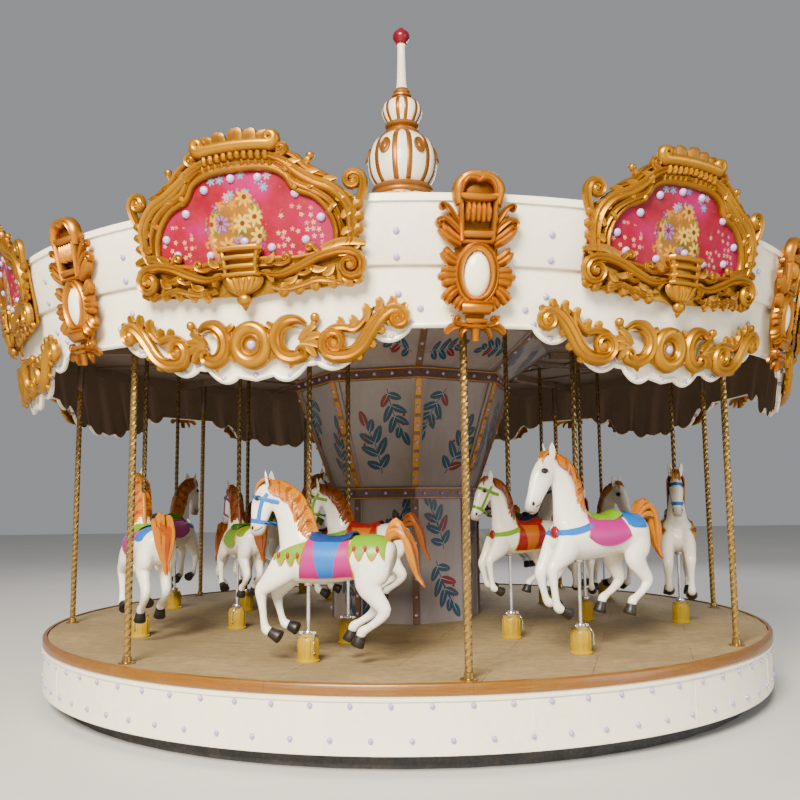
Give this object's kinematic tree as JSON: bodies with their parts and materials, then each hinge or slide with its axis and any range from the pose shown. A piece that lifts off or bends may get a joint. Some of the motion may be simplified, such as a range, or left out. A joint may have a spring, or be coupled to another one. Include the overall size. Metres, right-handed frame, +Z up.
{
  "type": "fairground carousel",
  "caption": "Two-row fairground carousel: turning deck and skirt, jumping horses on brass poles, mirror-style drum, scalloped gilt canopy rim and a finial.",
  "frame": {"origin": "centre of rotation on the ground", "axes": "+Z up along the axis of rotation; -Y points at the rim pole nearest to the viewer of the picture"},
  "size_m": [7.235, 7.235, 6.292],
  "materials": {
    "black_paint": "black painted steel",
    "grey_steel": "grey painted steel tube",
    "deck_boards": "dusty worn deck boards",
    "rim_wood": "varnished orange-brown wood strip",
    "white_panel": "weathered white moulded panel",
    "drum_panel": "pale sheet with blue leaves",
    "bronze_belt": "dark brown and gold belt",
    "ceiling_board": "dull brown underside",
    "roof_skin": "white roof skin",
    "brass_pole": "twisted brass tube",
    "gilt": "gold painted moulding",
    "copper_gilt": "copper gold painted moulding",
    "white_gloss": "white gloss with gold stripes",
    "red_gloss": "red gloss",
    "horse_paint": "painted fibreglass"
  },
  "bodies": {
    "base": {"base_frame": "black_paint", "centre_post": "grey_steel"},
    "turntable": {"deck": "deck_boards", "deck_rim": "rim_wood", "skirt": "white_panel", "drum_lower": "drum_panel", "drum_belt_lower": "bronze_belt", "drum_flare": "drum_panel", "drum_belt_upper": "bronze_belt", "drum_crown": "drum_panel", "valance": "white_panel", "cornice_board": "white_panel", "ceiling": "ceiling_board", "roof": "roof_skin", "rim_pole_1": "brass_pole", "rim_pole_2": "brass_pole", "rim_pole_3": "brass_pole", "rim_pole_4": "brass_pole", "rim_pole_5": "brass_pole", "rim_pole_6": "brass_pole", "rim_pole_7": "brass_pole", "rim_pole_8": "brass_pole", "crest_frame_1": "gilt", "crest_frame_2": "gilt", "crest_frame_3": "gilt", "crest_frame_4": "gilt", "crest_frame_5": "gilt", "crest_frame_6": "gilt", "crest_frame_7": "gilt", "crest_frame_8": "gilt", "cartouche_1": "copper_gilt", "cartouche_2": "copper_gilt", "cartouche_3": "copper_gilt", "cartouche_4": "copper_gilt", "cartouche_5": "copper_gilt", "cartouche_6": "copper_gilt", "cartouche_7": "copper_gilt", "cartouche_8": "copper_gilt", "finial_bulb": "white_gloss", "finial_cup": "white_gloss", "finial_spire": "white_gloss", "finial_ball": "red_gloss"},
    "horse_outer_1": {"horse_outer_1": "horse_paint"},
    "horse_outer_2": {"horse_outer_2": "horse_paint"},
    "horse_outer_3": {"horse_outer_3": "horse_paint"},
    "horse_outer_4": {"horse_outer_4": "horse_paint"},
    "horse_outer_5": {"horse_outer_5": "horse_paint"},
    "horse_outer_6": {"horse_outer_6": "horse_paint"},
    "horse_outer_7": {"horse_outer_7": "horse_paint"},
    "horse_outer_8": {"horse_outer_8": "horse_paint"},
    "horse_inner_1": {"horse_inner_1": "horse_paint"},
    "horse_inner_2": {"horse_inner_2": "horse_paint"},
    "horse_inner_3": {"horse_inner_3": "horse_paint"},
    "horse_inner_4": {"horse_inner_4": "horse_paint"},
    "horse_inner_5": {"horse_inner_5": "horse_paint"},
    "horse_inner_6": {"horse_inner_6": "horse_paint"},
    "horse_inner_7": {"horse_inner_7": "horse_paint"},
    "horse_inner_8": {"horse_inner_8": "horse_paint"}
  },
  "joints": [
    {"name": "carousel_turn", "type": "hinge", "parent": "base", "child": "turntable", "pos_m": [0, 0, 0.44], "axis": [0, 0, 1], "continuous": true},
    {"name": "outer_horse_1_rise", "type": "slide", "parent": "turntable", "child": "horse_outer_1", "axis": [0, 0, 1], "range_m": [-0.18, 0.06]},
    {"name": "outer_horse_2_rise", "type": "slide", "parent": "turntable", "child": "horse_outer_2", "axis": [0, 0, 1], "range_m": [-0.14, 0.1]},
    {"name": "outer_horse_3_rise", "type": "slide", "parent": "turntable", "child": "horse_outer_3", "axis": [0, 0, 1], "range_m": [-0.04, 0.2]},
    {"name": "outer_horse_4_rise", "type": "slide", "parent": "turntable", "child": "horse_outer_4", "axis": [0, 0, 1], "range_m": [-0.09, 0.15]},
    {"name": "outer_horse_5_rise", "type": "slide", "parent": "turntable", "child": "horse_outer_5", "axis": [0, 0, 1], "range_m": [-0.2, 0.04]},
    {"name": "outer_horse_6_rise", "type": "slide", "parent": "turntable", "child": "horse_outer_6", "axis": [0, 0, 1], "range_m": [-0.16, 0.08]},
    {"name": "outer_horse_7_rise", "type": "slide", "parent": "turntable", "child": "horse_outer_7", "axis": [0, 0, 1], "range_m": [-0.1, 0.14]},
    {"name": "outer_horse_8_rise", "type": "slide", "parent": "turntable", "child": "horse_outer_8", "axis": [0, 0, 1], "range_m": [-0.058, 0.182]},
    {"name": "inner_horse_1_rise", "type": "slide", "parent": "turntable", "child": "horse_inner_1", "axis": [0, 0, 1], "range_m": [-0.17, 0.07]},
    {"name": "inner_horse_2_rise", "type": "slide", "parent": "turntable", "child": "horse_inner_2", "axis": [0, 0, 1], "range_m": [-0.08, 0.16]},
    {"name": "inner_horse_3_rise", "type": "slide", "parent": "turntable", "child": "horse_inner_3", "axis": [0, 0, 1], "range_m": [-0.2, 0.04]},
    {"name": "inner_horse_4_rise", "type": "slide", "parent": "turntable", "child": "horse_inner_4", "axis": [0, 0, 1], "range_m": [-0.13, 0.11]},
    {"name": "inner_horse_5_rise", "type": "slide", "parent": "turntable", "child": "horse_inner_5", "axis": [0, 0, 1], "range_m": [-0.05, 0.19]},
    {"name": "inner_horse_6_rise", "type": "slide", "parent": "turntable", "child": "horse_inner_6", "axis": [0, 0, 1], "range_m": [-0.07, 0.17]},
    {"name": "inner_horse_7_rise", "type": "slide", "parent": "turntable", "child": "horse_inner_7", "axis": [0, 0, 1], "range_m": [-0.14, 0.1]},
    {"name": "inner_horse_8_rise", "type": "slide", "parent": "turntable", "child": "horse_inner_8", "axis": [0, 0, 1], "range_m": [-0.169, 0.071]}
  ]
}
